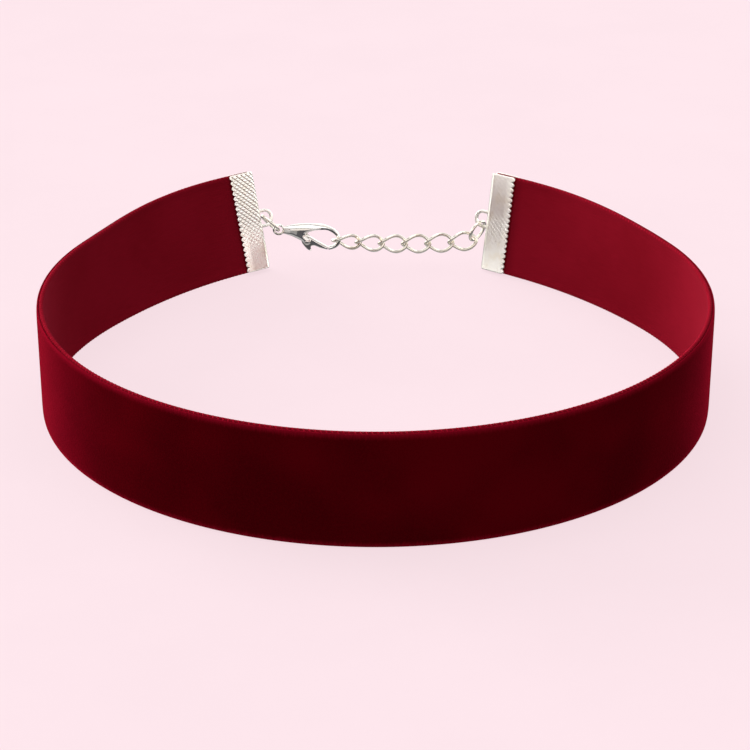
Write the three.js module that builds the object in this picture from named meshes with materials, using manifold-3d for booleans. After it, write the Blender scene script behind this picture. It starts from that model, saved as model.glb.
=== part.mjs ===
// Velvet ribbon choker, closed at the back by two folded metal crimps, a lobster clasp
// and a short twisted chain. Millimetres, +Z up. The front of the band is at -Y, the closure
// at +Y, and the band stands on its lower edge with the neck opening running along Z.
import * as THREE from 'three';
import { mergeVertices } from 'three/addons/utils/BufferGeometryUtils.js';
import Module from 'manifold-3d';

const wasm = await Module();
wasm.setup();

// ---- driving dimensions ----
const RIBBON = { width: 19, thickness: 1.2, pinched: 0.9, steps: 104 };

// Plan of one half of the band, from the middle of the front to the crimp's spine.
const BAND_ARCS = [
  { stretch: 'front', radius: 56, length: 58 },
  { stretch: 'side', radius: 54, length: 58 },
  { stretch: 'back', radius: 85, length: 33 },
  { stretch: 'crimped end', radius: Infinity, length: 7 },
];
const HALF_BAND = BAND_ARCS.reduce((sum, arc) => sum + arc.length, 0);

// The band's top tips outwards towards its ends, where the two crimps lean back.
const LEAN = { left: 17, right: 10, starts: 0.7 * HALF_BAND, full: HALF_BAND - 7 };

const CRIMP = { height: 18.8, depth: 5.5, sheet: 0.4, gap: 0.25, teeth: 18, toothDepth: 0.45 };
CRIMP.halfThick = RIBBON.pinched / 2 + CRIMP.gap + CRIMP.sheet;
const EYE = { leg: 1.15, outer: 1.75, inner: 1.15, thick: 0.6 };

const RING = { radius: 2.05, wire: 0.6 };
const LINK = { count: 6, length: 5.9, width: 4.1, wire: 0.64, squareness: 1.8, twist: 45 };

// The clasp lies in a vertical plane: x runs from its tail to its nose, y from lever to hook.
const CLASP = { tail: [-18.65, 113.6, 7.2], dip: 11, thick: 2.6 };
const PIVOT = { x: 5.75, y: -1.05, pin: 0.4, bore: 0.5 };
const LEVER = { thick: 1.1, bore: 0.55, slotGap: 0.2, slotRadius: 1.45 };

// The chain sags between the clasp's nose and the right jump ring.
const CHAIN = { first: [-5.6, 113.57, 4.77], last: [16.78, 112.85, 5.07], sag: 0.5, roll: 34 };

const VELVET = new THREE.MeshStandardMaterial({ color: 0x6d0518, roughness: 0.9, metalness: 0 });
const STAMPED = new THREE.MeshStandardMaterial({ color: 0xdcd6cc, roughness: 0.35, metalness: 1 });
const POLISHED = new THREE.MeshStandardMaterial({ color: 0xe2ded6, roughness: 0.15, metalness: 1 });
const WIRE = new THREE.MeshStandardMaterial({ color: 0xdad3c6, roughness: 0.2, metalness: 1 });

// ---- the band's course ----
function planPoint(distance) {
  // Position and heading on one half of the plan, a distance along from the front's middle.
  const place = { x: 0, y: 0, heading: 0 };
  let left = distance;
  for (const { radius, length } of BAND_ARCS) {
    const run = Math.min(left, length);
    const turn = run / radius;
    const chord = turn > 0 ? 2 * radius * Math.sin(turn / 2) : run;
    place.x += chord * Math.cos(place.heading + turn / 2);
    place.y += chord * Math.sin(place.heading + turn / 2);
    place.heading += turn;
    left -= run;
  }
  return place;
}

function bandFrame(course) {
  // The lower edge's middle and its three directions, at a signed distance from the front:
  // negative to the left, positive to the right.
  const side = course < 0 ? -1 : 1;
  const { x, y, heading } = planPoint(Math.abs(course));
  const along = new THREE.Vector3(Math.cos(heading), side * Math.sin(heading), 0);
  const level = new THREE.Vector3(side * Math.sin(heading), -Math.cos(heading), 0);
  const most = THREE.MathUtils.degToRad(side < 0 ? LEAN.left : LEAN.right);
  const lean = most * THREE.MathUtils.smoothstep(Math.abs(course), LEAN.starts, LEAN.full);
  const sky = new THREE.Vector3(0, 0, 1);
  const up = sky.clone().multiplyScalar(Math.cos(lean)).addScaledVector(level, Math.sin(lean));
  const out = level.clone().multiplyScalar(Math.cos(lean)).addScaledVector(sky, -Math.sin(lean));
  const foot = new THREE.Vector3(side * x, y, CRIMP.halfThick * Math.sin(lean));
  return { foot, along, up, out };
}

// ---- solids ----
function toSolid(geometry) {
  const bare = geometry.clone();
  bare.deleteAttribute('normal');
  bare.deleteAttribute('uv');
  const merged = mergeVertices(bare, 1e-5);
  const vertProperties = new Float32Array(merged.attributes.position.array);
  const triVerts = new Uint32Array(merged.index.array);
  return new wasm.Manifold(new wasm.Mesh({ numProp: 3, vertProperties, triVerts }));
}

function toGeometry(solid) {
  const mesh = solid.getMesh();
  const geometry = new THREE.BufferGeometry();
  geometry.setAttribute('position', new THREE.BufferAttribute(new Float32Array(mesh.vertProperties), 3));
  geometry.setIndex(new THREE.BufferAttribute(new Uint32Array(mesh.triVerts), 1));
  return geometry;
}

function plate(shape, thick, curveSegments = 8) {
  // A flat outline in XY made into a plate, half of its thickness to each side of the plane.
  const geometry = new THREE.ExtrudeGeometry(shape, { depth: thick, bevelEnabled: false, curveSegments });
  return geometry.translate(0, 0, -thick / 2);
}

function standingPlate(shape, thick, curveSegments = 8) {
  // The same plate stood up, so that the outline's y is the height.
  return plate(shape, thick, curveSegments).rotateX(Math.PI / 2);
}

function disc(radius, thick, x = 0, y = 0) {
  return new THREE.CylinderGeometry(radius, radius, thick, 20).rotateX(Math.PI / 2).translate(x, y, 0);
}

function meshOf(name, geometry, material) {
  const mesh = new THREE.Mesh(geometry, material);
  mesh.name = name;
  return mesh;
}

// ---- ribbon ----
function ribbon() {
  // A straight strip bent along the band's course and pinched thinner inside the crimps.
  const reach = HALF_BAND - CRIMP.halfThick;
  const strip = new THREE.BoxGeometry(2 * reach, RIBBON.thickness, RIBBON.width, RIBBON.steps, 1, 1);
  strip.translate(0, 0, RIBBON.width / 2);
  const pinch = RIBBON.pinched / RIBBON.thickness;
  const crimped = HALF_BAND - CRIMP.depth;
  const places = strip.attributes.position;
  for (let i = 0; i < places.count; i += 1) {
    const course = places.getX(i);
    const { foot, along, up, out } = bandFrame(course);
    const squeeze = THREE.MathUtils.smoothstep(Math.abs(course), crimped - 3, crimped);
    const inward = places.getY(i) * THREE.MathUtils.lerp(1, pinch, squeeze);
    foot.addScaledVector(up, places.getZ(i)).addScaledVector(out, -inward);
    places.setXYZ(i, foot.x, foot.y, foot.z);
  }
  return meshOf('ribbon', strip, VELVET);
}

// ---- crimps ----
function crimpFold() {
  // Plan of the folded sheet: two cheeks joined by a rounded spine at x = 0.
  const half = CRIMP.halfThick;
  const inner = half - CRIMP.sheet;
  const mouth = -CRIMP.depth;
  const fold = new THREE.Shape();
  fold.moveTo(mouth, -half);
  fold.lineTo(-half, -half);
  fold.absarc(-half, 0, half, -Math.PI / 2, Math.PI / 2, false);
  fold.lineTo(mouth, half);
  fold.lineTo(mouth, inner);
  fold.lineTo(-half, inner);
  fold.absarc(-half, 0, inner, Math.PI / 2, -Math.PI / 2, true);
  fold.lineTo(mouth, -inner);
  return fold;
}

function crimpSide() {
  // Side view of a cheek: straight, with rounded corners at the spine and teeth at the mouth.
  const corner = 0.6;
  const { height, depth, teeth, toothDepth } = CRIMP;
  const pitch = height / teeth;
  const side = new THREE.Shape();
  side.moveTo(-depth + toothDepth, 0);
  side.lineTo(-corner, 0);
  side.absarc(-corner, corner, corner, -Math.PI / 2, 0, false);
  side.lineTo(0, height - corner);
  side.absarc(-corner, height - corner, corner, 0, Math.PI / 2, false);
  side.lineTo(-depth + toothDepth, height);
  for (let tooth = 0; tooth < teeth; tooth += 1) {
    const top = height - tooth * pitch;
    side.lineTo(-depth, top - 0.35 * pitch);
    side.lineTo(-depth, top - 0.65 * pitch);
    side.lineTo(-depth + toothDepth, top - pitch);
  }
  return side;
}

function eyeOutline() {
  // D-shaped eye: two legs from the spine and a half round, around an opening of the same form.
  const root = -CRIMP.halfThick;
  const eye = new THREE.Shape();
  eye.moveTo(root, -EYE.outer);
  eye.lineTo(EYE.leg, -EYE.outer);
  eye.absarc(EYE.leg, 0, EYE.outer, -Math.PI / 2, Math.PI / 2, false);
  eye.lineTo(root, EYE.outer);
  const opening = new THREE.Path();
  opening.moveTo(0.15, -EYE.inner);
  opening.lineTo(EYE.leg, -EYE.inner);
  opening.absarc(EYE.leg, 0, EYE.inner, -Math.PI / 2, Math.PI / 2, false);
  opening.lineTo(0.15, EYE.inner);
  eye.holes.push(opening);
  return eye;
}

function crimp(name, side) {
  const fold = plate(crimpFold(), CRIMP.height + 2).translate(0, 0, CRIMP.height / 2);
  const cheeks = standingPlate(crimpSide(), 4 * CRIMP.halfThick);
  const eye = standingPlate(eyeOutline(), EYE.thick, 10).translate(0, 0, CRIMP.height / 2);
  const cavity = new THREE.BoxGeometry(CRIMP.halfThick, 2 * (CRIMP.halfThick - CRIMP.sheet), CRIMP.height + 2);
  cavity.translate(-CRIMP.halfThick / 2 - CRIMP.sheet, 0, CRIMP.height / 2);
  const sheet = toSolid(fold).intersect(toSolid(cheeks));
  const solid = sheet.add(toSolid(eye).subtract(toSolid(cavity)));
  const mesh = meshOf(name, toGeometry(solid), STAMPED);
  const { foot, along, up, out } = bandFrame(side * HALF_BAND);
  foot.addScaledVector(up, (RIBBON.width - CRIMP.height) / 2);
  const outwards = along.clone().multiplyScalar(side);
  const across = out.clone().multiplyScalar(-side);
  mesh.applyMatrix4(new THREE.Matrix4().makeBasis(outwards, across, up).setPosition(foot));
  return mesh;
}

// ---- clasp ----
function outlineThrough(stretches) {
  // A closed outline of smooth stretches, each a spline through its points, meeting at corners.
  const shape = new THREE.Shape();
  const [first] = stretches[0];
  shape.moveTo(first[0], first[1]);
  for (const stretch of stretches) {
    const points = stretch.slice(1).map(([x, y]) => new THREE.Vector2(x, y));
    if (points.length === 1) {
      shape.lineTo(points[0].x, points[0].y);
    } else {
      shape.splineThru(points);
    }
  }
  return shape;
}

function claspOutline() {
  // Back of the body, over the hook to its tip, back inside the hook, then round the pivot.
  return outlineThrough([
    [[0.5, 0.55], [2.1, 1.3], [4.1, 1.95], [6.5, 2.4], [8.9, 2.5], [10.9, 1.95], [12.0, 0.7],
      [12.1, -0.6], [11.4, -1.55], [10.3, -2.1]],
    [[10.3, -2.1], [10.15, -1.55]],
    [[10.15, -1.55], [10.95, -1.1], [11.4, -0.3], [11.2, 0.6], [10.3, 1.4], [8.8, 1.8],
      [7.0, 1.35], [5.3, 0.35]],
    [[5.3, 0.35], [6.35, -0.35], [6.7, -1.1], [6.35, -1.8], [5.6, -2.0], [4.5, -1.25],
      [2.4, -0.7], [0.5, -0.55]],
    [[0.5, -0.55], [0.5, 0.55]],
  ]);
}

function claspPlan() {
  // Plan of the body: slim at the tail, full at the pivot, slim again along the hook.
  const halfWidths = [
    { x: -1.4, half: 0.4 },
    { x: 0.9, half: 0.4 },
    { x: 3.6, half: CLASP.thick / 2 },
    { x: 6.9, half: CLASP.thick / 2 },
    { x: 9.2, half: 0.75 },
    { x: 12.6, half: 0.38 },
  ];
  const plan = new THREE.Shape();
  plan.moveTo(halfWidths[0].x, -halfWidths[0].half);
  for (const { x, half } of halfWidths.slice(1)) {
    plan.lineTo(x, -half);
  }
  for (const { x, half } of halfWidths.toReversed()) {
    plan.lineTo(x, half);
  }
  return plan;
}

function claspBody() {
  const tail = { outer: 1.15, hole: 0.75, thick: 0.8 };
  const profile = toSolid(plate(claspOutline(), CLASP.thick + 1, 4));
  const widths = toSolid(standingPlate(claspPlan(), 12));
  const slot = disc(LEVER.slotRadius, LEVER.thick + 2 * LEVER.slotGap, PIVOT.x, PIVOT.y);
  const solid = profile
    .add(toSolid(disc(tail.outer, tail.thick)))
    .intersect(widths)
    .subtract(toSolid(disc(tail.hole, 3)))
    .subtract(toSolid(slot))
    .subtract(toSolid(disc(PIVOT.bore, 4, PIVOT.x, PIVOT.y)));
  return meshOf('clasp_body', toGeometry(solid), POLISHED);
}

function leverOutline() {
  // Gate from the pivot to its tip at the hook, then the thumb nib below the pivot.
  return outlineThrough([
    [[5.2, -0.15], [6.3, -0.3], [8.0, -0.95], [9.75, -1.7]],
    [[9.75, -1.7], [9.85, -2.15]],
    [[9.85, -2.15], [8.6, -2.1], [7.3, -1.85], [6.75, -2.1]],
    [[6.75, -2.1], [6.75, -2.6], [7.0, -3.05]],
    [[7.0, -3.05], [6.2, -2.9], [5.3, -2.2], [4.75, -1.5], [4.75, -0.7], [5.2, -0.15]],
  ]);
}

function claspLever() {
  const solid = toSolid(plate(leverOutline(), LEVER.thick, 4))
    .subtract(toSolid(disc(LEVER.bore, 3, PIVOT.x, PIVOT.y)));
  return meshOf('clasp_lever', toGeometry(solid), POLISHED);
}

function claspPin() {
  const pin = disc(PIVOT.pin, CLASP.thick, PIVOT.x, PIVOT.y);
  return meshOf('clasp_pin', pin, POLISHED);
}

function clasp() {
  const group = new THREE.Group();
  group.add(claspBody(), claspLever(), claspPin());
  const dip = THREE.MathUtils.degToRad(CLASP.dip);
  const toNose = new THREE.Vector3(Math.cos(dip), 0, -Math.sin(dip));
  const toHook = new THREE.Vector3(Math.sin(dip), 0, Math.cos(dip));
  const toFace = toNose.clone().cross(toHook);
  const tail = new THREE.Vector3(...CLASP.tail);
  group.applyMatrix4(new THREE.Matrix4().makeBasis(toNose, toHook, toFace).setPosition(tail));
  return group;
}

// ---- jump rings ----
function jumpRing(name, center, axis) {
  const geometry = new THREE.TorusGeometry(RING.radius, RING.wire / 2, 8, 24);
  const mesh = meshOf(name, geometry, WIRE);
  mesh.quaternion.setFromUnitVectors(new THREE.Vector3(0, 0, 1), new THREE.Vector3(...axis).normalize());
  mesh.position.set(...center);
  return mesh;
}

// ---- chain ----
class TwistedLink extends THREE.Curve {
  // A rounded lozenge whose plane turns from one end of the link to the other.
  getPoint(t) {
    const angle = 2 * Math.PI * t;
    const bend = (value) => Math.sign(value) * Math.abs(value) ** (2 / LINK.squareness);
    const x = ((LINK.length - LINK.wire) / 2) * bend(Math.cos(angle));
    const reach = ((LINK.width - LINK.wire) / 2) * bend(Math.sin(angle));
    const turn = THREE.MathUtils.degToRad((LINK.twist * 2 * x) / (LINK.length - LINK.wire));
    return new THREE.Vector3(x, reach * Math.sin(turn), reach * Math.cos(turn));
  }
}

function chain() {
  const group = new THREE.Group();
  const first = new THREE.Vector3(...CHAIN.first);
  const last = new THREE.Vector3(...CHAIN.last);
  const span = last.clone().sub(first);
  for (let i = 0; i < LINK.count; i += 1) {
    const t = i / (LINK.count - 1);
    const geometry = new THREE.TubeGeometry(new TwistedLink(), 28, LINK.wire / 2, 8, true);
    const link = meshOf(`chain_link_${i + 1}`, geometry, WIRE);
    link.position.copy(first).addScaledVector(span, t);
    link.position.z -= 4 * CHAIN.sag * t * (1 - t);
    const slope = span.z - 4 * CHAIN.sag * (1 - 2 * t);
    const roll = THREE.MathUtils.degToRad(CHAIN.roll * (1 - t) ** 2);
    link.rotation.order = 'ZYX';
    link.rotation.set(roll, -Math.atan2(slope, span.x), Math.atan2(span.y, span.x));
    group.add(link);
  }
  return group;
}

// ---- the whole choker ----
function choker() {
  const group = new THREE.Group();
  group.add(ribbon());
  group.add(crimp('crimp_left', -1), crimp('crimp_right', 1));
  group.add(jumpRing('jump_ring_left', [-20.27, 114.15, 8.32], [0.639, 0.39, 0.663]));
  group.add(clasp());
  group.add(chain());
  group.add(jumpRing('jump_ring_right', [19.6, 113.49, 6.99], [-0.727, 0.605, 0.326]));
  group.updateMatrixWorld(true);
  const box = new THREE.Box3().setFromObject(group, true);
  const middle = box.getCenter(new THREE.Vector3());
  group.position.set(-middle.x, -middle.y, -box.min.z);
  return group;
}

export default choker();
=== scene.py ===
# %% [markdown]
# # A velvet ribbon choker
# The choker is one strip of velvet ribbon bent into a loop. Each end is clamped in a
# folded metal crimp, and the two crimps are joined behind the neck by a lobster clasp
# and a short twisted chain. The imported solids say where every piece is. This lesson
# rebuilds each of them finely enough to be looked at closely.

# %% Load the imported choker
import math

import bpy
import numpy as np
from mathutils import Matrix, Vector
from mathutils.geometry import delaunay_2d_cdt


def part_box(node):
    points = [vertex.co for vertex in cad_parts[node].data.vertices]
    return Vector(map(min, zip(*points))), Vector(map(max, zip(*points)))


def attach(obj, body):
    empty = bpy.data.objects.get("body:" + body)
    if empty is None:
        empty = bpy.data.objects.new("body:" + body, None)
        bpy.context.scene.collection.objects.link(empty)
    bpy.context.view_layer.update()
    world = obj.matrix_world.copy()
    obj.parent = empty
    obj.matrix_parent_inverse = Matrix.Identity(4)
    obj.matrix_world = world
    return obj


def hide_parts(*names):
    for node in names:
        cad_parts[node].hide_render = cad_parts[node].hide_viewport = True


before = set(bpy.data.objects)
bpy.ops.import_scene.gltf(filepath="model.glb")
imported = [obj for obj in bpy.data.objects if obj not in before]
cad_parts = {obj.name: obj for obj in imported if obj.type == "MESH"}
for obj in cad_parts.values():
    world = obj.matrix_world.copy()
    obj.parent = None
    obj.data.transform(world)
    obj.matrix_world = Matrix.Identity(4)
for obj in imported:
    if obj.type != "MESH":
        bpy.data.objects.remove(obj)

MM = 0.001
WIDTH, THICKNESS = 19.0, 1.2
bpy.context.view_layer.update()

# %% [markdown]
# ## Camera
# The choker stands on the lower edge of its ribbon and is seen from the front, a little
# above. A short lens from close by would stretch the front of the loop, so a long lens
# from further away is used, which keeps the ellipse calm. The camera comes first, so that
# each new piece can be judged from the place it is made for.

# %% The camera
LENS_MM = 110.4
AIM = Vector((-0.1, 3.95, 0)) * MM
EYE = Vector((-0.1, -358.85, 165.1)) * MM

camera_data = bpy.data.cameras.new("camera")
camera_data.lens = LENS_MM
camera_data.clip_start, camera_data.clip_end = 0.01, 20
camera = bpy.data.objects.new("camera", camera_data)
camera.location = EYE
camera.rotation_euler = (AIM - EYE).to_track_quat("-Z", "Y").to_euler()
bpy.context.scene.collection.objects.link(camera)
bpy.context.scene.camera = camera
print("camera looks down by", round(math.degrees(math.atan2(EYE.z, (AIM - EYE).xy.length)), 2))

# %% [markdown]
# ## Recipes for finishes
# A finish is a small tree of nodes. Written out link by link it is hard to read, so two
# helpers carry the work. A `Strand` is one value on its way through the tree, and sums
# of strands add their own nodes. A `Recipe` is the tree of a material or of the world,
# and its `node` method adds any node from its type, its settings and what goes into its
# sockets.


# %% Strands and recipes
class Strand:
    """One value or colour on its way between nodes."""

    def __init__(self, recipe, socket):
        self.recipe = recipe
        self.socket = socket

    def join(self, operation, first, second):
        if self.socket.type == "VALUE":
            return self.recipe.node("Math", {"operation": operation}, {0: first, 1: second})
        return self.recipe.node("VectorMath", {"operation": operation}, {0: first, 1: second})

    def __add__(self, other):
        return self.join("ADD", self, other)

    def __sub__(self, other):
        return self.join("SUBTRACT", self, other)

    def __mul__(self, other):
        return self.join("MULTIPLY", self, other)

    def __rsub__(self, other):
        return self.join("SUBTRACT", other, self)

    __radd__ = __add__
    __rmul__ = __mul__


class Recipe:
    """The node tree of a material or world, and the one way of adding nodes to it."""

    def __init__(self, owner):
        owner.use_nodes = True
        self.owner, self.tree = owner, owner.node_tree
        self.tree.nodes.clear()

    def node(self, kind, settings=None, sockets=None, out=None):
        added = self.tree.nodes.new("ShaderNode" + kind)
        for key, value in (settings or {}).items():
            if key == "stops":
                self.set_stops(added.color_ramp, value)
            else:
                setattr(added, key, value)
        for key, value in (sockets or {}).items():
            if isinstance(value, Strand):
                self.tree.links.new(value.socket, added.inputs[key])
            else:
                added.inputs[key].default_value = value
        shown = [socket for socket in added.outputs if socket.enabled]
        if shown:
            return Strand(self, added.outputs[out] if out else shown[0])

    @staticmethod
    def set_stops(ramp, stops):
        while len(ramp.elements) < len(stops):
            ramp.elements.new(0.5)
        for element, (place, colour) in zip(ramp.elements, stops):
            element.position = place
            element.color = (*colour, 1) if isinstance(colour, tuple) else (colour,) * 3 + (1,)

    def ramp(self, value, stops):
        return self.node("ValToRGB", {"stops": stops}, {"Fac": value}, out="Color")

    def between(self, value, low, high):
        """0 below low, 1 above high, and a soft change between them."""
        return self.node("MapRange", {"interpolation_type": "SMOOTHSTEP"},
                         {"Value": value, "From Min": low, "From Max": high})

    def blend(self, mask, first, second):
        factor = mask if isinstance(mask, Strand) else float(mask)
        named = {"Factor": factor, 6: first, 7: second}
        mixed = self.node("Mix", {"data_type": "RGBA"}, named)
        return Strand(self, mixed.socket.node.outputs[2])

    def noise(self, place, scale, detail=3.0, roughness=0.5):
        return self.node("TexNoise", {}, {"Vector": place, "Scale": scale, "Detail": detail,
                                          "Roughness": roughness}, out="Fac")

    def place(self):
        return self.node("TexCoord", out="Object")

    def bump(self, height, distance, strength):
        return self.node("Bump", {}, {"Height": height, "Distance": distance,
                                      "Strength": strength})

    def surface(self, **sockets):
        named = {key.replace("_", " "): value for key, value in sockets.items()}
        self.node("OutputMaterial", {}, {"Surface": self.node("BsdfPrincipled", {}, named)})
        return self.owner


# %% [markdown]
# ## Cloth finishes
# Velvet is a ground weave with a dense stand of short, upright threads on one face. Seen
# end-on the threads swallow light, and seen from the side they glow. They could be made
# as hair, but so short and dense a pile is only ever seen as a whole, so the shader's
# sheen gives the glow. The base colour is very dark, with slow clouds where the nap leans
# another way. Along both edges there is a painted highlight: the base colour is made
# lighter there, to stand in for the light that the pile's rounded shoulder catches. The
# back is a plain, tight satin weave with a soft shine. The weave follows the cloth, so it
# is drawn in the ribbon's own flat measure, a UV map in mm.

# %% Velvet pile
def cloth_place(recipe):
    """Where a point is on the flat ribbon, in mm: along it, and up from its lower edge."""
    flat = recipe.node("UVMap", {"uv_map": "cloth"}, out="UV")
    along = recipe.node("SeparateXYZ", {}, {"Vector": flat}, out="X")
    return along, Strand(recipe, along.socket.node.outputs["Y"])


def velvet_pile():
    recipe = Recipe(bpy.data.materials.new("velvet_pile"))
    place = recipe.place()
    along, rise = cloth_place(recipe)
    nap = recipe.noise(place, 45, 2, 0.55)
    tufts = recipe.noise(place, 3600, 2, 0.6)
    upright = recipe.node("CombineXYZ", {}, {"X": along * 3.2, "Y": rise * 0.6})
    strokes = recipe.noise(upright, 1.0, 2)
    clouds = recipe.between(nap, 0.35, 0.7)
    deep = recipe.blend(clouds, (0.048, 0.0002, 0.0016, 1), (0.082, 0.0003, 0.0026, 1))
    grain = recipe.between(tufts, 0.35, 0.8)
    pile = recipe.blend(grain * 0.3, deep, (0.11, 0.0006, 0.0036, 1))
    # Painted highlight: the base colour gets lighter along both edges, standing in for light caught
    # by the pile's rounded shoulder.
    from_edge = recipe.node("Math", {"operation": "MINIMUM"}, {0: rise, 1: WIDTH - rise})
    edge_highlight = 1 - recipe.between(from_edge + strokes * 0.9, 0.5, 1.7)
    colour = recipe.blend(edge_highlight * 0.8, pile, (0.22, 0.0025, 0.012, 1))
    normal = recipe.bump(tufts, 0.00012, 0.6)
    return recipe.surface(Base_Color=colour, Roughness=0.95, Normal=normal,
                          Specular_IOR_Level=0.0, Sheen_Weight=0.6, Sheen_Roughness=0.32,
                          Sheen_Tint=(0.80, 0.018, 0.056, 1))


PILE = velvet_pile()
print("cloth finish:", PILE.name, len(PILE.node_tree.nodes), "nodes")


# %% Satin back
WEFT_MM, WARP_MM = 0.24, 0.31


def satin_back():
    recipe = Recipe(bpy.data.materials.new("satin_back"))
    along, rise = cloth_place(recipe)
    weft = recipe.node("Math", {"operation": "SINE"}, {0: along * (2 * math.pi / WEFT_MM)})
    warp = recipe.node("Math", {"operation": "SINE"}, {0: rise * (2 * math.pi / WARP_MM)})
    cloudy = recipe.noise(recipe.place(), 60, 3, 0.5)
    lengthwise = recipe.node("CombineXYZ", {}, {"X": along * 0.35, "Y": rise * 5.0})
    slub = recipe.noise(lengthwise, 1.0, 2)
    shade = recipe.between(cloudy * 0.6 + slub * 0.4, 0.3, 0.7)
    colour = recipe.blend(shade, (0.180, 0.0036, 0.0100, 1), (0.222, 0.0052, 0.0145, 1))
    weave = recipe.bump(weft * 0.5 + warp * 0.35, 0.000018, 0.5)
    return recipe.surface(Base_Color=colour, Roughness=0.7, Normal=weave,
                          Specular_IOR_Level=0.0, Sheen_Weight=0.25, Sheen_Roughness=0.3,
                          Sheen_Tint=(0.9, 0.09, 0.16, 1))


SATIN = satin_back()
print("cloth finish:", SATIN.name, len(SATIN.node_tree.nodes), "nodes")


# %% Selvedge thread
def selvedge_thread():
    recipe = Recipe(bpy.data.materials.new("selvedge_thread"))
    twist = recipe.noise(recipe.place(), 2600, 2, 0.6)
    colour = recipe.blend(recipe.between(twist, 0.3, 0.7), (0.30, 0.004, 0.016, 1),
                          (0.48, 0.012, 0.034, 1))
    normal = recipe.bump(twist, 0.00005, 0.5)
    return recipe.surface(Base_Color=colour, Roughness=0.6, Normal=normal,
                          Specular_IOR_Level=0.0, Sheen_Weight=0.35, Sheen_Roughness=0.3,
                          Sheen_Tint=(1.0, 0.06, 0.14, 1))


THREAD = selvedge_thread()
print("cloth finish:", THREAD.name, len(THREAD.node_tree.nodes), "nodes")

# %% [markdown]
# ## Metal finishes
# The crimps, clasp and chain are silver-plated over brass, so they are a warm silver.
# The stamped crimps are the dullest, the wire is brighter, and the tumbled clasp is
# almost a mirror. One recipe makes all three, with slow patches of tarnish and a fine
# scatter of rubbing marks that keep any of them from looking new. The crimps' grooves are
# also darker: their mesh carries a map of how deep each point is pressed, and the recipe
# darkens by it.


# %% Silver plating
def silver(name, colour, roughness, wear, brushed, grooves=False):
    """Wear is added to the roughness where rubbed; brushed is how far marks can be felt."""
    recipe = Recipe(bpy.data.materials.new(name))
    place = recipe.place()
    tarnish = recipe.noise(place, 380, 4, 0.55)
    rubbed = recipe.noise(place, 2900, 3, 0.6)
    warm = tuple(c * k for c, k in zip(colour, (0.93, 0.90, 0.84))) + (1,)
    tone = recipe.blend(recipe.between(tarnish, 0.42, 0.72), colour + (1,), warm)
    if grooves:
        flat = recipe.node("UVMap", {"uv_map": "relief"}, out="UV")
        sunk = recipe.node("SeparateXYZ", {}, {"Vector": flat}, out="X")
        # Darker in the knurl's grooves, by how deep each point is pressed.
        tone = recipe.blend(recipe.between(sunk, 0.15, 1.0), tone, (0.40, 0.36, 0.32, 1))
    dull = recipe.between(rubbed, 0.3, 0.75) * wear + roughness
    normal = recipe.bump(rubbed, 0.00003, brushed)
    return recipe.surface(Base_Color=tone, Metallic=1.0, Roughness=dull, Normal=normal)


STAMPED = silver("stamped_silver", (0.99, 0.98, 0.94), 0.28, 0.06, 0.15, grooves=True)
POLISHED = silver("polished_silver", (0.93, 0.91, 0.88), 0.04, 0.07, 0.05)
WIRE = silver("wire_silver", (0.92, 0.88, 0.80), 0.10, 0.10, 0.08)
print("metal finishes:", STAMPED.name, POLISHED.name, WIRE.name)

# %% [markdown]
# ## The band's course
# Half of the band is four arcs in plan, mirrored for the other half, and towards its
# ends the band's top tips outwards. A curve object could carry the ribbon, but its tilt
# is hard to hold exactly. Here everything on the band is placed by a signed distance
# along it from the middle of the front, its course, so one function turns a course into a
# place and three directions.

# %% From a course to a place
# Each arc is (radius, length) in mm, from the middle of the front.
ARCS = ((56, 58), (54, 58), (85, 33), (math.inf, 7))
HALF_BAND = sum(length for _, length in ARCS)
FOLD_HALF = 1.1
LEAN_LEFT, LEAN_RIGHT = math.radians(17), math.radians(10)
LEAN_STARTS, LEAN_FULL = 0.7 * HALF_BAND, HALF_BAND - 7
FRONT_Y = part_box("ribbon")[0].y / MM + THICKNESS / 2


def smooth_step(value, low, high):
    """0 below low, 1 above high, and a soft change between them."""
    t = np.clip((value - low) / (high - low), 0, 1)
    return t * t * (3 - 2 * t)


def band_frame(course):
    """Foot, along, up and out of the band at each course, in mm."""
    course = np.asarray(course, float)
    side = np.where(course < 0, -1.0, 1.0)
    left = np.abs(course)
    x, y, heading = np.zeros((3,) + course.shape)
    for radius, length in ARCS:
        run = np.clip(left, 0, length)
        turn = run / radius
        chord = run * np.sinc(turn / (2 * np.pi))
        x = x + chord * np.cos(heading + turn / 2)
        y = y + chord * np.sin(heading + turn / 2)
        heading = heading + turn
        left = left - run
    most = np.where(side < 0, LEAN_LEFT, LEAN_RIGHT)
    lean = most * smooth_step(np.abs(course), LEAN_STARTS, LEAN_FULL)
    none = np.zeros_like(x)
    along = np.stack([np.cos(heading), side * np.sin(heading), none], -1)
    level = np.stack([side * np.sin(heading), -np.cos(heading), none], -1)
    sky = np.array([0, 0, 1.0])
    tip, stand = np.sin(lean)[..., None], np.cos(lean)[..., None]
    foot = np.stack([side * x, y + FRONT_Y, FOLD_HALF * np.sin(lean)], -1)
    return foot, along, sky * stand + level * tip, level * stand - sky * tip


print("loop's ends, mm:", np.round(band_frame([-HALF_BAND, HALF_BAND])[0], 2).tolist())


# %% Meshes from points
def unit(vectors):
    return vectors / np.linalg.norm(vectors, axis=-1, keepdims=True)


def grid_faces(rows, columns, around=False, start=0):
    """Quads over a grid of points; `around` joins the last column to the first."""
    steps = columns if around else columns - 1
    row, column = np.meshgrid(np.arange(rows - 1), np.arange(steps), indexing="ij")
    after = (column + 1) % columns
    corners = [row * columns + column, row * columns + after,
               (row + 1) * columns + after, (row + 1) * columns + column]
    return np.stack([c.ravel() for c in corners], -1) + start


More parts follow.
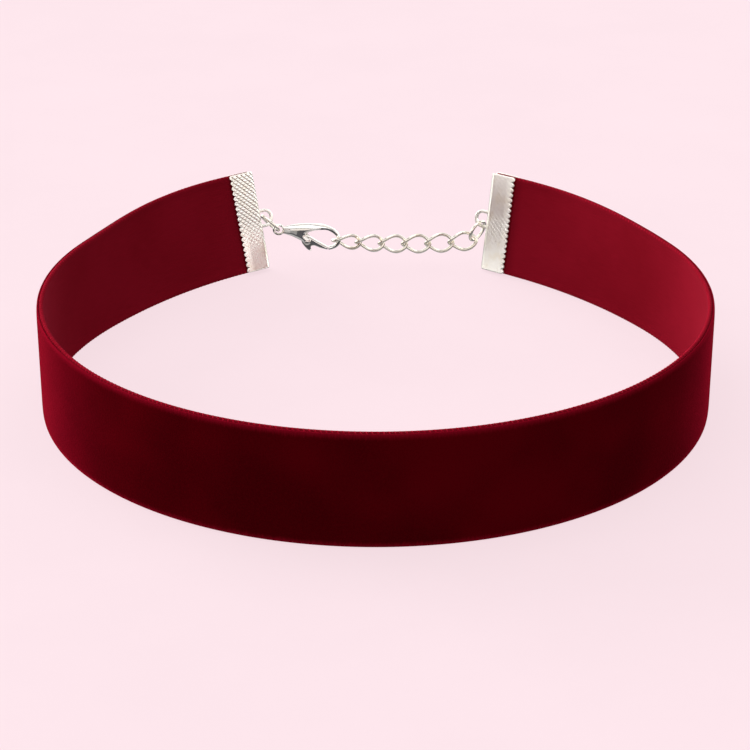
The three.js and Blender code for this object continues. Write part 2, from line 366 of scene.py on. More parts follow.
def make_piece(name, points, faces, finish, body="choker", replaces=(), sharp=None):
    """An object from points in mm, riding on a body."""
    mesh = bpy.data.meshes.new(name)
    mesh.from_pydata((np.asarray(points, float).reshape(-1, 3) * MM).tolist(), [],
                     [[int(i) for i in face] for face in faces])
    mesh.polygons.foreach_set("use_smooth", [True] * len(mesh.polygons))
    if sharp is not None:
        mesh.set_sharp_from_angle(angle=math.radians(sharp))
    for material in finish if isinstance(finish, tuple) else (finish,):
        mesh.materials.append(material)
    piece = bpy.data.objects.new(name, mesh)
    bpy.context.scene.collection.objects.link(piece)
    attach(piece, body)
    if replaces:
        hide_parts(*replaces)
    print(name, len(mesh.vertices), "points,", len(mesh.polygons), "faces")
    return piece


# %% [markdown]
# ## Ribbon
# In section the ribbon is a flat satin back, a rolled selvedge at each edge, a small
# groove, and then the rounded shoulder of the pile. A flat strip with a Solidify modifier
# would have square edges, and the edges are what the eye follows round the loop. So that
# one outline is swept along the course, pinched thinner where the crimps grip it.

# %% The ribbon's section
# Each point is (finish, out, up) in mm. The lower half is its mirror.
UPPER_HALF = (
    ("satin", -0.45, 9.5), ("satin", -0.45, 12.0), ("satin", -0.45, 14.5), ("satin", -0.45, 16.6),
    ("satin", -0.46, 17.4), ("satin", -0.50, 17.85), ("satin", -0.56, 18.15),
    ("satin", -0.58, 18.40), ("satin", -0.56, 18.62), ("satin", -0.47, 18.81),
    ("satin", -0.33, 18.93), ("satin", -0.18, 18.96), ("satin", -0.03, 18.90),
    ("satin", 0.08, 18.74), ("satin", 0.14, 18.56),
    ("pile", 0.18, 18.44), ("pile", 0.22, 18.60), ("pile", 0.28, 18.74), ("pile", 0.36, 18.82),
    ("pile", 0.44, 18.80), ("pile", 0.51, 18.66), ("pile", 0.555, 18.38), ("pile", 0.58, 17.95),
    ("pile", 0.595, 17.3), ("pile", 0.60, 16.4), ("pile", 0.60, 14.5), ("pile", 0.60, 12.0),
    ("pile", 0.60, 9.5),
)
CRIMP_DEPTH = 5.5
PINCHED, PINCH_RUN = 0.9, 3


def ribbon_section():
    """Closed outline of (out, up), with the finish that starts at each point."""
    upper = list(UPPER_HALF)
    lower = [(zone, out, WIDTH - up) for zone, out, up in reversed(upper[1:-1])]
    lower = [(lower[i - 1][0] if i else "pile", out, up) for i, (_, out, up) in enumerate(lower)]
    outline = upper + lower
    places = np.array([[out, up] for _, out, up in outline])
    return places, [zone for zone, _, _ in outline]


def squeezed(course, out):
    """The ribbon is pinched where a crimp holds it."""
    mouth = HALF_BAND - CRIMP_DEPTH
    grip = smooth_step(np.abs(course), mouth - PINCH_RUN, mouth)
    return out * (1 + (PINCHED / THICKNESS - 1) * grip)


# %% The ribbon
STATIONS = 417


def ribbon():
    section, zones = ribbon_section()
    reach = HALF_BAND - FOLD_HALF
    course = np.linspace(-reach, reach, STATIONS)
    foot, along, up, out = band_frame(course)
    offset = squeezed(course[:, None], section[None, :, 0])
    points = (foot[:, None] + up[:, None] * section[None, :, 1, None]
              + out[:, None] * offset[..., None])
    rows, columns = points.shape[:2]
    faces = grid_faces(rows, columns, around=True)[:, ::-1]
    first = list(range(columns))
    last = [(rows - 1) * columns + i for i in reversed(first)]
    piece = make_piece("velvet_ribbon", points, [*faces.tolist(), first, last], (PILE, SATIN),
                       replaces=("ribbon",))
    mesh = piece.data
    kinds = [0 if zone == "pile" else 1 for zone in zones] * (rows - 1) + [1, 1]
    mesh.polygons.foreach_set("material_index", kinds)
    cloth = mesh.uv_layers.new(name="cloth")
    corners = np.zeros(len(mesh.loops), int)
    mesh.loops.foreach_get("vertex_index", corners)
    flat = np.stack([course[corners // columns], section[corners % columns, 1]], -1)
    cloth.uv.foreach_set("vector", flat.astype(np.float32).ravel())
    return piece


velvet_ribbon = ribbon()

# %% [markdown]
# ## Selvedge stitches
# The edge of the weave is bound by a thread that runs over and over it, leaning a
# little each time. Each turn is a short bent tube. An Array modifier along a curve could
# repeat one turn, but the turns follow a band that tips and is pinched. So all of them
# are worked out in one array of numbers, because they differ only in their course.

# %% Binding thread along both edges
# In mm, and "first" and "last" are where a turn starts and ends round the edge, in degrees.
STITCH = {"pitch": 0.84, "thread": 0.14, "bead": 0.25, "lean": 0.6, "clear": 0.4,
          "first": 215, "last": -25, "sides": 6, "bends": 8}
BEAD_OUT, BEAD_UP = -0.20, 18.61


def stitches():
    reach = HALF_BAND - CRIMP_DEPTH - STITCH["clear"]
    centres = np.arange(-reach, reach, STITCH["pitch"])
    turn = np.radians(np.linspace(STITCH["first"], STITCH["last"], STITCH["bends"]))
    step = np.linspace(-0.5, 0.5, STITCH["bends"])
    points, faces, count = [], [], 0
    for edge in (1, -1):
        course = centres[:, None] + STITCH["lean"] * step[None, :]
        foot, along, up, out = band_frame(course)
        bead = WIDTH / 2 + edge * (BEAD_UP - WIDTH / 2)
        radial = (out * np.cos(turn)[None, :, None] + edge * up * np.sin(turn)[None, :, None])
        grip = squeezed(course, np.full_like(course, BEAD_OUT))
        path = (foot + up * bead + out * grip[..., None] + radial * STITCH["bead"])
        beside = unit(np.cross(unit(np.gradient(path, axis=1)), radial))
        thick = STITCH["thread"] * np.sqrt(np.clip(1 - (2.02 * step) ** 6, 0.1, 1))
        ring = np.radians(np.arange(STITCH["sides"]) * 360 / STITCH["sides"])
        tube = (path[:, :, None]
                + thick[None, :, None, None] * (radial[:, :, None] * np.cos(ring)[:, None]
                                                + beside[:, :, None] * np.sin(ring)[:, None]))
        one = grid_faces(STITCH["bends"], STITCH["sides"], around=True)
        size = STITCH["bends"] * STITCH["sides"]
        starts = count + np.arange(len(centres)) * size
        faces += [quad for start in starts for quad in (one[:, ::edge] + start).tolist()]
        cap = np.arange(STITCH["sides"])
        for start in starts:
            faces.append((cap[::-edge] + start).tolist())
            faces.append((cap[::edge] + start + size - STITCH["sides"]).tolist())
        points.append(tube.reshape(-1, 3))
        count += len(centres) * size
    return make_piece("selvedge_stitches", np.concatenate(points), faces, THREAD)


selvedge_stitches = stitches()

# %% [markdown]
# ## Crimps
# A crimp is a strip of sheet metal folded over the ribbon's end. Its faces are knurled
# with diamonds so that the pliers grip, and its open edge has small teeth that bite
# into the velvet. Cutting each groove and tooth with a boolean would be slow and leave
# ragged faces. Instead the fold is a fine grid of points, and the knurl, the teeth and
# the rounded rims are all small moves of those points.

# %% Stations and rims


def with_rims(low, high, step, rim):
    """Evenly spaced stations with finer ones beside both ends."""
    inner = np.linspace(low + rim, high - rim, max(2, round((high - low - 2 * rim) / step) + 1))
    fine = rim * np.array([0, 0.1, 0.3, 0.6])
    return np.concatenate([low + fine, inner, (high - fine)[::-1]])


def rounded_rim(distance, rim):
    """How far the skin drops at a distance from the edge, as on a quarter circle."""
    near = np.clip(distance, 0, rim)
    return rim - np.sqrt(np.maximum(rim ** 2 - (rim - near) ** 2, 0))


# %% Knurl
# Each family of grooves is (way it leans, share of the depth, where its wall starts).
KNURL = {"pitch": 0.94, "slope": math.tan(math.radians(43)), "deep": 0.10,
         "families": ((1, 1.0, 0.5), (-1, 0.65, 0.6))}


def diamonds(run, rise):
    """Depth of the knurl below the sheet's face: two families of crossing grooves."""
    depth = 0
    for way, share, start in KNURL["families"]:
        phase = (rise + way * run * KNURL["slope"]) / KNURL["pitch"]
        groove = np.abs((phase % 1) - 0.5) * 2
        depth = np.maximum(depth, share * smooth_step(groove, start, 1.0))
    return depth


def firm_above(run, rise):
    """The left crimp was pressed hard, but not at its foot."""
    return smooth_step(rise, 3.5, 10.5)


def pressed_flat(run, rise):
    """On the right crimp the knurl is worn almost flat, apart from a band in the middle."""
    return 0.06 + 0.3 * smooth_step(rise, 4, 8) * (1 - smooth_step(rise, 9, 12))


# %% Folded sheet
CRIMP = {"height": 18.8, "depth": CRIMP_DEPTH, "sheet": 0.4, "corner": 0.75, "rim": 0.14,
         "teeth": 19, "bite": 0.72, "squareness": 0.45, "tooth_root": 1.0,
         "bend_in": 0.16, "bend_run": 1.6, "step": 0.085}


def crimp_sheet(knurl_amount):
    """Points of the folded sheet in its own axes: x away from the ribbon, z up."""
    bend = FOLD_HALF * math.pi / 2
    cheek = CRIMP["depth"] - FOLD_HALF
    length = bend + cheek
    run = with_rims(-length, length, CRIMP["step"], CRIMP["rim"])
    share = with_rims(0, CRIMP["height"], CRIMP["step"], CRIMP["rim"]) / CRIMP["height"]
    run, share = np.meshgrid(run, share, indexing="ij")
    straight = np.abs(run) - bend
    turned = np.clip(run, -bend, bend) / FOLD_HALF
    spine_x = np.where(straight > 0, -FOLD_HALF - straight, FOLD_HALF * (np.cos(turned) - 1))
    corner = CRIMP["corner"]
    cut = np.maximum(spine_x + corner, 0)
    low = corner - np.sqrt(np.maximum(corner ** 2 - cut ** 2, 0))
    rise = low + share * (CRIMP["height"] - 2 * low)
    pitch = CRIMP["height"] / CRIMP["teeth"]
    tooth = np.abs(np.sin(np.pi * rise / pitch)) ** CRIMP["squareness"]
    free = np.clip((straight - cheek) / CRIMP["tooth_root"] + 1, 0, 1)
    x = spine_x + free ** 2 * CRIMP["bite"] * (1 - tooth)
    way = np.stack([np.where(straight > 0, 0, np.cos(turned)), np.sin(turned),
                    np.zeros_like(run)], -1)
    centre = np.stack([np.where(straight > 0, x, -FOLD_HALF), np.zeros_like(x), rise], -1)
    edge = np.minimum(length - np.abs(run), np.minimum(rise - low, CRIMP["height"] - low - rise))
    edge = np.maximum(edge, 0)
    closing = CRIMP["bend_in"] * smooth_step(straight, cheek - CRIMP["bend_run"], cheek)
    rim = rounded_rim(edge, CRIMP["rim"])
    sunk = diamonds(run, rise) * knurl_amount(run, rise) * smooth_step(edge, 0.05, 0.4)
    face = FOLD_HALF - closing - rim - sunk * KNURL["deep"]
    inside = FOLD_HALF - closing - CRIMP["sheet"] + rim
    return centre + way * face[..., None], centre + way * inside[..., None], sunk


def closed_sheet(face, inside):
    """One closed skin from two matching grids."""
    rows, columns = face.shape[:2]
    size = rows * columns
    points = np.concatenate([face.reshape(-1, 3), inside.reshape(-1, 3)])
    faces = [grid_faces(rows, columns), grid_faces(rows, columns, start=size)[:, ::-1]]
    index = np.arange(size).reshape(rows, columns)
    loop = np.concatenate([index[0, :-1], index[:-1, -1], index[-1, :0:-1], index[:0:-1, 0]])
    after = np.roll(loop, -1)
    faces.append(np.stack([loop, loop + size, after + size, after], -1))
    return points, np.concatenate(faces)


# %% Tubes for eyes, rings and links
def tube_faces(rows, columns):
    """Quads along an open tube, and a cap on each end."""
    last = (rows - 1) * columns
    return [*grid_faces(rows, columns, around=True).tolist(), list(range(columns))[::-1],
            [last + i for i in range(columns)]]


def sweep(path, across, up, section):
    """A tube of the given section (in mm) along a path, with its two side directions."""
    points = (path[:, None] + across[:, None] * section[None, :, 0, None]
              + up[:, None] * section[None, :, 1, None])
    return points.reshape(-1, 3), tube_faces(*points.shape[:2])


def squared(value, power):
    """Bends a sine or cosine so that a circle of power 2 gets squarer above it."""
    return np.sign(value) * np.abs(value) ** (2 / power)


def round_section(radius, sides, power=2.0):
    """A circle, or with a higher power a square with soft corners."""
    angle = np.arange(sides) * 2 * np.pi / sides
    return radius * np.stack([squared(np.cos(angle), power), squared(np.sin(angle), power)], -1)


def side_directions(path, up):
    """The path's side direction and an up that is square to it."""
    run = unit(np.gradient(path, axis=0))
    across = unit(np.cross(run, up))
    return across, np.cross(across, run)


# %% Both crimps with their eyes
EYE = {"root": -0.7, "leg": 1.15, "radius": 1.45, "half_wire": 0.3, "squareness": 3.2}


def eye_wire():
    """D-shaped eye standing from the middle of the spine."""
    leg, radius = EYE["leg"], EYE["radius"]
    turn = np.linspace(math.pi / 2, -math.pi / 2, 33)
    upper = np.stack([np.linspace(EYE["root"], leg, 8)[:-1], np.full(7, radius)], -1)
    bow = np.stack([leg + radius * np.cos(turn), radius * np.sin(turn)], -1)
    flat = np.concatenate([upper, bow, upper[::-1] * (1, -1)])
    path = np.stack([flat[:, 0], np.zeros(len(flat)), flat[:, 1] + CRIMP["height"] / 2], -1)
    across, up = side_directions(path, np.array([0, 1.0, 0]))
    return sweep(path, across, up, round_section(EYE["half_wire"], 20, EYE["squareness"]))


def crimp(name, side, knurl_amount):
    """Sheet and eye in one piece, with a map of the knurl's depth, by which the finish darkens the
    grooves.
    """
    face, inside, sunk = crimp_sheet(knurl_amount)
    sheet_points, sheet_faces = closed_sheet(face, inside)
    eye_points, eye_faces = eye_wire()
    points = np.concatenate([sheet_points, eye_points])
    faces = sheet_faces.tolist() + [[i + len(sheet_points) for i in f] for f in eye_faces]
    foot, along, up, out = band_frame(side * HALF_BAND)
    foot = foot + up * (WIDTH - CRIMP["height"]) / 2
    axes = np.stack([along * side, -out * side, up])
    piece = make_piece(f"folded_{name}", foot + points @ axes, faces, STAMPED,
                       replaces=(name,), sharp=50)
    depth = np.zeros(len(points))
    depth[:sunk.size] = sunk.ravel()
    corners = np.zeros(len(piece.data.loops), int)
    piece.data.loops.foreach_get("vertex_index", corners)
    relief = np.stack([depth[corners], np.zeros(len(corners))], -1)
    layer = piece.data.uv_layers.new(name="relief")
    layer.uv.foreach_set("vector", relief.astype(np.float32).ravel())
    return piece


folded_crimp_left = crimp("crimp_left", -1, firm_above)
folded_crimp_right = crimp("crimp_right", 1, pressed_flat)

# %% [markdown]
# ## Jump rings
# A jump ring is one turn of wire with its ends pushed together. A torus would give its
# shape, but a real ring is never quite shut: the seam stays as a hairline. So each ring
# is an open tube that stops just short of its own start.

# %% Two jump rings
RING = {"radius": 2.05, "wire": 0.3, "seam": 0.05}


def plan_place(x, y, z):
    """A place given from the middle of the band's front, in the row's mm."""
    return np.array([x, y + FRONT_Y, z])


def jump_ring(name, axis, seam_at):
    """A ring where its solid is, square to an axis, with its seam at an angle."""
    axis = unit(np.array(axis))
    low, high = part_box(name)
    centre = np.array((low + high) / 2) / MM
    level = unit(np.cross(axis, [0, 0, 1.0]))
    gap = RING["seam"] / RING["radius"] / 2
    turn = math.radians(seam_at) + np.linspace(gap, 2 * math.pi - gap, 97)
    spoke = level * np.cos(turn)[:, None] + np.cross(axis, level) * np.sin(turn)[:, None]
    path = centre + spoke * RING["radius"]
    points, faces = sweep(path, spoke, np.broadcast_to(axis, spoke.shape),
                          round_section(RING["wire"], 18))
    return make_piece(f"wire_{name}", points, faces, WIRE, replaces=(name,),
                      sharp=60)


wire_jump_ring_left = jump_ring("jump_ring_left", (0.639, 0.39, 0.663), 200)
wire_jump_ring_right = jump_ring("jump_ring_right", (-0.727, 0.605, 0.326), 250)

# %% [markdown]
# ## Chain
# The links are rounded lozenges of wire, each twisted about its own length, so that the
# next one lies at a slant in it. An Array modifier would give six copies in a straight
# row as one piece. Here each link is a piece of its own, as a maker would hook them
# together: one formula draws the link, and the chain sags a little between the clasp's
# nose and the right jump ring.

# %% Six twisted links
LINK = {"count": 6, "length": 5.9, "width": 4.1, "wire": 0.64, "squareness": 1.8,
        "twist": math.radians(45), "seam": 0.035}
CHAIN = {"first": (-5.6, 113.57, 4.77), "last": (16.78, 112.85, 5.07), "sag": 0.5,
         "roll": math.radians(34)}


def link_path(samples=144):
    """The middle of a link's wire, in its own axes, with a fine seam in one side."""
    half_length = (LINK["length"] - LINK["wire"]) / 2
    half_width = (LINK["width"] - LINK["wire"]) / 2
    seam_at = math.pi / 2
    gap = LINK["seam"] / half_width / 2
    turn = seam_at + np.linspace(gap, 2 * math.pi - gap, samples)
    x = half_length * squared(np.cos(turn), LINK["squareness"])
    reach = half_width * squared(np.sin(turn), LINK["squareness"])
    twist = LINK["twist"] * x / half_length
    return np.stack([x, reach * np.sin(twist), reach * np.cos(twist)], -1)


def turned(roll, pitch, yaw):
    """Rotation that rolls about x, then pitches about y, then yaws about z."""
    cr, sr, cp, sp = math.cos(roll), math.sin(roll), math.cos(pitch), math.sin(pitch)
    cy, sy = math.cos(yaw), math.sin(yaw)
    about_x = np.array([[1, 0, 0], [0, cr, -sr], [0, sr, cr]])
    about_y = np.array([[cp, 0, sp], [0, 1, 0], [-sp, 0, cp]])
    about_z = np.array([[cy, -sy, 0], [sy, cy, 0], [0, 0, 1]])
    return about_z @ about_y @ about_x


def chain_links():
    first, last = plan_place(*CHAIN["first"]), plan_place(*CHAIN["last"])
    span = last - first
    path = link_path()
    across, up = side_directions(path, unit(np.cross(np.gradient(path, axis=0), unit(path))))
    points, faces = sweep(path, across, up, round_section(LINK["wire"] / 2, 16))
    made = []
    for i in range(LINK["count"]):
        t = i / (LINK["count"] - 1)
        middle = first + span * t - np.array([0, 0, 4 * CHAIN["sag"] * t * (1 - t)])
        slope = span[2] - 4 * CHAIN["sag"] * (1 - 2 * t)
        turn = turned(CHAIN["roll"] * (1 - t) ** 2, -math.atan2(slope, span[0]),
                      math.atan2(span[1], span[0]))
        name = f"chain_link_{i + 1}"
        made.append(make_piece(f"wire_{name}", middle + points @ turn.T, faces, WIRE,
                               replaces=(name,), sharp=60))
    return made


wire_links = chain_links()

# %% [markdown]
# ## Lobster clasp
# The clasp is cast: a teardrop body whose top runs on as a hook, with a gate on a pin
# that closes the hook. A casting has no sharp edge anywhere. An extruded outline with a
# Bevel modifier breaks down where the hook gets thin, so each part starts as its outline,
# filled with a fine mesh, and is then inflated: its skin rises from the outline like a
# quarter circle and levels off at the part's half width. The slot for the gate and the
# hole for the pin are machined into the casting afterwards, so they are booleans.


# %% Outlines
def spline(points, per_span=12):
    """A smooth curve through the points, without its last point."""
    points = np.asarray(points, float)
    if len(points) == 2:
        return points[:1] + (points[1:] - points[:1]) * np.linspace(0, 1, 8)[:-1, None]
    padded = np.concatenate([points[:1], points, points[-1:]])
    t = np.linspace(0, 1, per_span, endpoint=False)[:, None]
    spans = []
    for a, b, c, d in zip(padded, padded[1:], padded[2:], padded[3:]):
        spans.append(b + 0.5 * t * ((c - a) + t * ((2 * a - 5 * b + 4 * c - d)
                                                   + t * (3 * (b - c) + d - a))))
    return np.concatenate(spans)


def evenly(loop, step):
    """The closed loop again, with points a step apart."""
    closed = np.concatenate([loop, loop[:1]])
    lengths = np.linalg.norm(np.diff(closed, axis=0), axis=1)
    reached = np.concatenate([[0], np.cumsum(lengths)])
    at = np.linspace(0, reached[-1], int(reached[-1] / step) + 1)[:-1]
    return np.stack([np.interp(at, reached, closed[:, k]) for k in (0, 1)], -1)


def softened(loop, passes):
    for _ in range(passes):
        loop = (np.roll(loop, 1, 0) + loop * 2 + np.roll(loop, -1, 0)) / 4
    return loop


# %% Distances to an outline
def edges_of(loops):
    """Start and end points of every edge of some closed outlines."""
    start = np.concatenate(loops)
    end = np.concatenate([np.roll(loop, -1, 0) for loop in loops])
    return start, end


def distance_to(points, loops):
    """How far each point is from the outlines, and whether it is inside them."""
    a, b = edges_of(loops)
    d = b - a
    t = ((points[:, None] - a) * d).sum(-1) / (d * d).sum(-1)
    near = a + np.clip(t, 0, 1)[..., None] * d
    far = np.linalg.norm(points[:, None] - near, axis=-1).min(1)
    above = (a[:, 1] > points[:, None, 1]) != (b[:, 1] > points[:, None, 1])
    cross = a[:, 0] + (points[:, None, 1] - a[:, 1]) * d[:, 0] / np.where(d[:, 1], d[:, 1], 1e-12)
    inside = (above & (points[:, None, 0] < cross)).sum(1) % 2 == 1
    return far, inside


# %% Inflation
RIM_STEPS = (0.02, 0.06, 0.12, 0.2, 0.3, 0.42)


def inflated(loops, half_width, rounding, step=0.13):
    """A closed mesh over outlines in XY, as thick as half_width(x) to each side."""
    inner = []
    start, end = edges_of(loops)
    run = end - start
    normal = np.stack([-run[:, 1], run[:, 0]], -1) / np.linalg.norm(run, axis=1)[:, None]
    for depth in RIM_STEPS:
        for way in (1, -1):
            ring = (start + end) / 2 + normal * way * depth
            far, inside = distance_to(ring, loops)
            inner.append(ring[inside & (far > depth * 0.97)])
    low, high = start.min(0), start.max(0)
    x, y = np.meshgrid(np.arange(low[0], high[0], step), np.arange(low[1], high[1], step))
    x = x + (np.arange(len(x)) % 2)[:, None] * step / 2
    lattice = np.stack([x.ravel(), y.ravel()], -1)
    far, inside = distance_to(lattice, loops)
    inner.append(lattice[inside & (far > RIM_STEPS[-1] + step * 0.6)])
    flat = np.concatenate([start, *inner])
    rims, first = [], 0
    for loop in loops:
        rims += [(first + i, first + (i + 1) % len(loop)) for i in range(len(loop))]
        first += len(loop)
    filled = delaunay_2d_cdt([Vector(p) for p in flat.tolist()], rims, [], 0, 1e-7)
    flat = np.array([tuple(p) for p in filled[0]])
    faces = np.array(filled[2])
    _, kept = distance_to(flat[faces].mean(1), loops)
    faces = faces[kept]
    far, _ = distance_to(flat, loops)
    far[far < 1e-5] = 0
    radius = rounding(flat[:, 0])
    share = np.clip(far / radius, 0, 1)
    high = half_width(flat[:, 0]) * np.sqrt(1 - (1 - share) ** 2)
    a, b, c = (flat[faces[:, i]] for i in range(3))
    clockwise = (b - a)[:, 0] * (c - a)[:, 1] < (b - a)[:, 1] * (c - a)[:, 0]
    faces[clockwise] = faces[clockwise][:, ::-1]
    on_rim = far == 0
    under = np.where(on_rim, np.arange(len(flat)), len(flat) + np.cumsum(~on_rim) - 1)
    points = np.concatenate([np.column_stack([flat, high]),
                             np.column_stack([flat, -high])[~on_rim]])
    print("inflated", len(start), "rim points into", len(points))
    return points, np.concatenate([faces, under[faces][:, ::-1]])


# %% The clasp's own axes
CLASP = {"tail": (-18.65, 113.6, 7.2), "dip": math.radians(11)}
PIVOT = np.array([5.75, -1.05])
SHARP_EDGE = 35
TO_NOSE = np.array([math.cos(CLASP["dip"]), 0, -math.sin(CLASP["dip"])])
TO_HOOK = np.array([math.sin(CLASP["dip"]), 0, math.cos(CLASP["dip"])])
CLASP_AXES = np.stack([TO_NOSE, TO_HOOK, np.cross(TO_NOSE, TO_HOOK)])


def clasp_place(points):
    """Points from the clasp's axes, which start at its tail ring, into the choker's."""
    return plan_place(*CLASP["tail"]) + np.asarray(points) @ CLASP_AXES


def clasp_piece(name, points, faces, node, body="choker"):
    return make_piece(name, clasp_place(points), faces, POLISHED, body,
                      (node,), SHARP_EDGE)


def circle(radius, sides):
    turn = np.linspace(0, 2 * math.pi, sides, endpoint=False)
    return radius * np.stack([np.cos(turn), np.sin(turn)], -1)


print("clasp's nose points down by", round(math.degrees(CLASP["dip"]), 1), "degrees")



# %% Clasp body
TAIL_RING = {"radius": 1.15, "hole": 0.75}


def clasp_outline():
    back = [(0.5, 0.55), (2.1, 1.3), (4.1, 1.95), (6.5, 2.4), (8.9, 2.5), (10.9, 1.95),
            (12.0, 0.7), (12.1, -0.6), (11.4, -1.6), (10.14, -2.2)]
    hook = [(10.02, -1.6), (10.95, -1.1), (11.4, -0.3), (11.2, 0.6), (10.3, 1.4), (8.8, 1.8),
            (7.0, 1.35), (5.3, 0.35)]
    cheek = [(5.3, 0.35), (6.35, -0.35), (6.7, -1.1), (6.35, -1.8), (5.6, -2.0), (4.5, -1.25),
             (2.4, -0.7), (0.5, -0.55)]
    outline = np.concatenate([spline(back), spline([back[-1], hook[0]]), spline(hook),
                              spline(cheek)])
    kept = outline[np.linalg.norm(outline, axis=1) > TAIL_RING["radius"] + 0.01]
    start, end = kept[0], kept[-1]
    turn = np.linspace(math.atan2(end[1], end[0]), math.atan2(start[1], start[0]) - 2 * math.pi,
                       90)[1:-1]
    tail = TAIL_RING["radius"] * np.stack([np.cos(turn), np.sin(turn)], -1)
    outer = softened(evenly(np.concatenate([kept, tail]), 0.07), 6)
    return [outer, circle(TAIL_RING["hole"], 64)]


def body_half_width(x):
    """Thin at the tail ring, full over the pin, and thin again along the hook."""
    return np.interp(x, [-1.4, 0.9, 2.2, 3.6, 5.2, 6.9, 8.0, 9.2, 12.6],
                     [0.38, 0.42, 0.86, 1.2, 1.3, 1.27, 1.05, 0.78, 0.4])


def body_rounding(x):
    """How far from the outline the skin is level."""
    return 0.3 + 0.5 * smooth_step(x, 0.8, 3.2) - 0.58 * smooth_step(x, 6.2, 8.2)


silver_clasp_body = clasp_piece("silver_clasp_body",
                                *inflated(clasp_outline(), body_half_width, body_rounding),
                                "clasp_body")


# %% Slot and pin hole
SLOT = {"radius": 1.45, "thick": 1.5}
PIN_HOLE = {"radius": 0.42, "thick": 4}


def cutter(radius, thick):
    """A disc about the pivot, across the clasp."""
    bpy.ops.mesh.primitive_cylinder_add(vertices=64, radius=radius * MM, depth=thick * MM)
    tool = bpy.context.object
    place = clasp_place([*PIVOT, 0])
    rows = [[*CLASP_AXES.T[row], place[row] * MM] for row in range(3)] + [[0, 0, 0, 1]]
    # A plain nested list would be read as columns, and a Matrix is read as rows.
    tool.matrix_world = Matrix([[float(value) for value in row] for row in rows])
    return tool


def cut(piece, tools):
    """Takes the tools' shapes out of the piece for good."""
    for tool in tools:
        boolean = piece.modifiers.new("cut", "BOOLEAN")
        boolean.operation, boolean.solver, boolean.object = "DIFFERENCE", "EXACT", tool
        bpy.context.view_layer.objects.active = piece
        bpy.ops.object.modifier_apply(modifier=boolean.name)
        bpy.data.objects.remove(tool)
    piece.data.set_sharp_from_angle(angle=math.radians(SHARP_EDGE))
    print(piece.name, "after cutting:", len(piece.data.polygons), "faces")


cut(silver_clasp_body, [cutter(**SLOT), cutter(**PIN_HOLE)])


# %% Gate
GATE = {"half": 0.55, "rounding": 0.2, "bore": 0.44}


def lever_outline():
    gate = [(5.2, -0.15), (6.3, -0.3), (8.0, -0.95), (9.9, -1.62)]
    under = [(10.0, -2.2), (8.6, -2.1), (7.3, -1.85), (6.75, -2.1)]
    nib = [(6.75, -2.1), (6.75, -2.6), (7.0, -3.05)]
    heel = [(7.0, -3.05), (6.2, -2.9), (5.3, -2.2), (4.75, -1.5), (4.75, -0.7), (5.2, -0.15)]
    outline = np.concatenate([spline(gate), spline([gate[-1], under[0]]), spline(under),
                              spline(nib), spline(heel)])
    return [softened(evenly(outline, 0.06), 5), PIVOT + circle(GATE["bore"], 40)]


silver_clasp_lever = clasp_piece("silver_clasp_lever",
                                 *inflated(lever_outline(),
                                           lambda x: np.full_like(x, GATE["half"]),
                                           lambda x: np.full_like(x, GATE["rounding"]), 0.1),
                                 "clasp_lever", body="clasp_gate")


# %% Pin
def lathed(profile, centre, sides=40):
    """A turned part from (radius, height) pairs, about the clasp's cross axis."""
    rows = [np.column_stack([centre + circle(radius, sides), np.full(sides, height)])
            for radius, height in profile]
    return np.concatenate(rows), tube_faces(len(profile), sides)


PIN_PROFILE = ((0.14, -1.325), (0.26, -1.315), (0.35, -1.28), (0.39, -1.22), (0.4, -1.12),
               (0.4, 1.12), (0.39, 1.22), (0.35, 1.28), (0.26, 1.315), (0.14, 1.325))
silver_clasp_pin = clasp_piece("silver_clasp_pin", *lathed(PIN_PROFILE, PIVOT), "clasp_pin")

# %% [markdown]
# ## Table, light and air
# A choker is shown on a light table, where shadows stay faint. Ordinary lamps over a
# white floor would need much light to get there, and would burn out the metal. So the
# table glows by itself and only its last share is lit, by one large soft panel overhead.
# The air around has three parts. Cloth and paper are lit by a soft air with one bright
# window behind on the left, which picks out the rims of the velvet. Polished metal
# mirrors an air with bright and dark layers, which gives it the streaks that make it look
# like metal. Behind everything is the plain rose of the table.


# %% Table
ROSE = (0.982, 0.791, 0.840)
TABLE_HALF, TABLE_DROP = 3.0, 0.00003


def table_finish():
    """Thin rose paper on a light box: most of its glow is its own, so shadows stay faint."""
    recipe = Recipe(bpy.data.materials.new("pale_paper"))
    blotch = recipe.between(recipe.noise(recipe.place(), 22, 5, 0.62), 0.3, 0.7)
    dim, full = (tuple(c * k for c in ROSE) + (1,) for k in (0.118, 0.132))
    return recipe.surface(Base_Color=recipe.blend(blotch, dim, full), Roughness=0.9,
                          Specular_IOR_Level=0.0, Emission_Color=ROSE + (1,),
                          Emission_Strength=0.85)


def table():
    mesh = bpy.data.meshes.new("table")
    corners = [(x * TABLE_HALF, y * TABLE_HALF, 0) for x, y in ((-1, -1), (1, -1), (1, 1), (-1, 1))]
    mesh.from_pydata(corners, [], [(0, 1, 2, 3)])
    mesh.materials.append(table_finish())
    top = bpy.data.objects.new("table", mesh)
    top.location.z = -TABLE_DROP
    top.visible_glossy = False
    top.visible_diffuse = False
    bpy.context.scene.collection.objects.link(top)
    return top


pale_table = table()
print("table:", pale_table.active_material.name, [round(v, 2) for v in pale_table.dimensions])


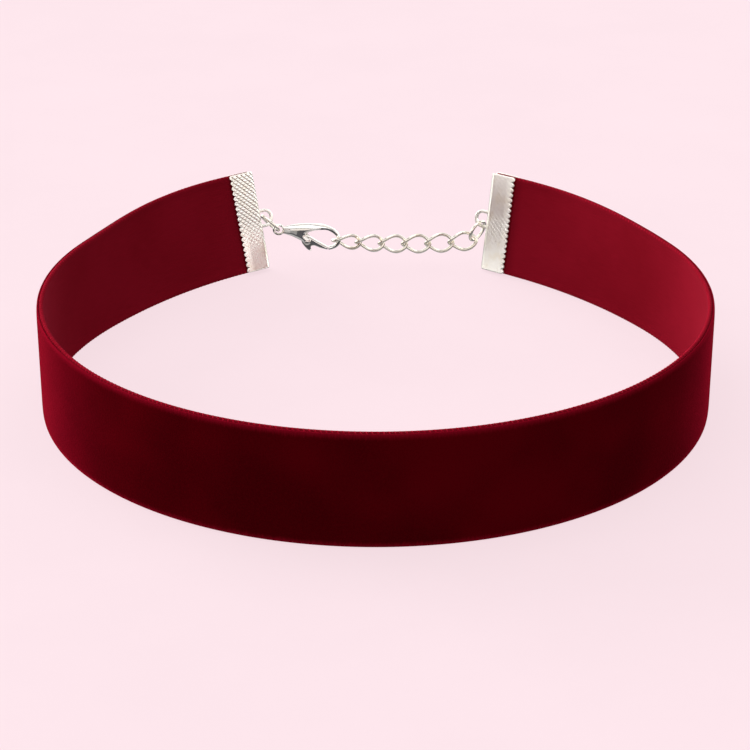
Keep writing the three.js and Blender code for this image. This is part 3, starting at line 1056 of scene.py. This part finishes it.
# %% Air
# Ramps run from straight down to straight up for SHINE, and from away from the window
# to straight at it for SOFT.
SHINE = ((0.0, (0.60, 0.59, 0.59)), (0.20, (0.20, 0.20, 0.21)), (0.27, (0.05, 0.05, 0.055)),
         (0.35, (0.11, 0.11, 0.12)), (0.42, (1.2, 1.17, 1.12)), (0.49, (2.0, 1.95, 1.86)),
         (0.60, (1.7, 1.65, 1.60)), (0.68, (0.95, 0.93, 0.92)), (0.80, (0.90, 0.89, 0.88)),
         (0.86, (0.25, 0.25, 0.26)), (0.92, (0.85, 0.84, 0.83)), (1.0, (1.0, 0.98, 0.97)))
SOFT = ((0.0, 0.36), (0.5, 0.70), (0.94, 0.95), (0.97, 8.0), (1.0, 8.0))
WINDOW = (-0.76, 0.60, 0.24)


def air():
    """Three airs: what metal mirrors, what lights cloth and paper, and the backdrop."""
    recipe = Recipe(bpy.data.worlds.new("air"))
    place = recipe.node("TexCoord", out="Generated")
    rise = recipe.node("SeparateXYZ", {}, {"Vector": place}, out="Z")
    toward = recipe.node("VectorMath", {"operation": "DOT_PRODUCT"},
                         {0: place, 1: Vector(WINDOW).normalized()}, out="Value")
    shine, soft = (recipe.ramp(recipe.node("MapRange", {}, {"Value": value, "From Min": -1}), stops)
                   for value, stops in ((rise, SHINE), (toward, SOFT)))
    lit = recipe.blend(recipe.node("LightPath", out="Is Glossy Ray"), soft, shine)
    shown = recipe.blend(recipe.node("LightPath", out="Is Camera Ray"), lit, ROSE + (1,))
    recipe.node("OutputWorld", {}, {"Surface": recipe.node("Background", {}, {"Color": shown})})
    return recipe.owner


bpy.context.scene.world = air()
print("air:", len(SHINE), "layers for metal,", len(SOFT), "stops for cloth and paper")


# %% Overhead panel
PANEL = {"place": Vector((0, 0.1, 0.9)), "aim": Vector((0, 0, 0.01)), "side": 1.0, "watts": 3.2}


def panel(name):
    """A soft square light that looks at the middle of the choker."""
    data = bpy.data.lights.new(name, "AREA")
    data.shape = "RECTANGLE"
    data.size = data.size_y = PANEL["side"]
    data.energy = PANEL["watts"]
    light = bpy.data.objects.new(name, data)
    light.location = PANEL["place"]
    light.rotation_euler = (PANEL["aim"] - PANEL["place"]).to_track_quat("-Z", "Y").to_euler()
    bpy.context.scene.collection.objects.link(light)
    return light


overhead = panel("overhead")
print("panel:", overhead.data.energy, "W at", [round(v, 2) for v in overhead.location])
bpy.context.scene.view_settings.view_transform = "Standard"
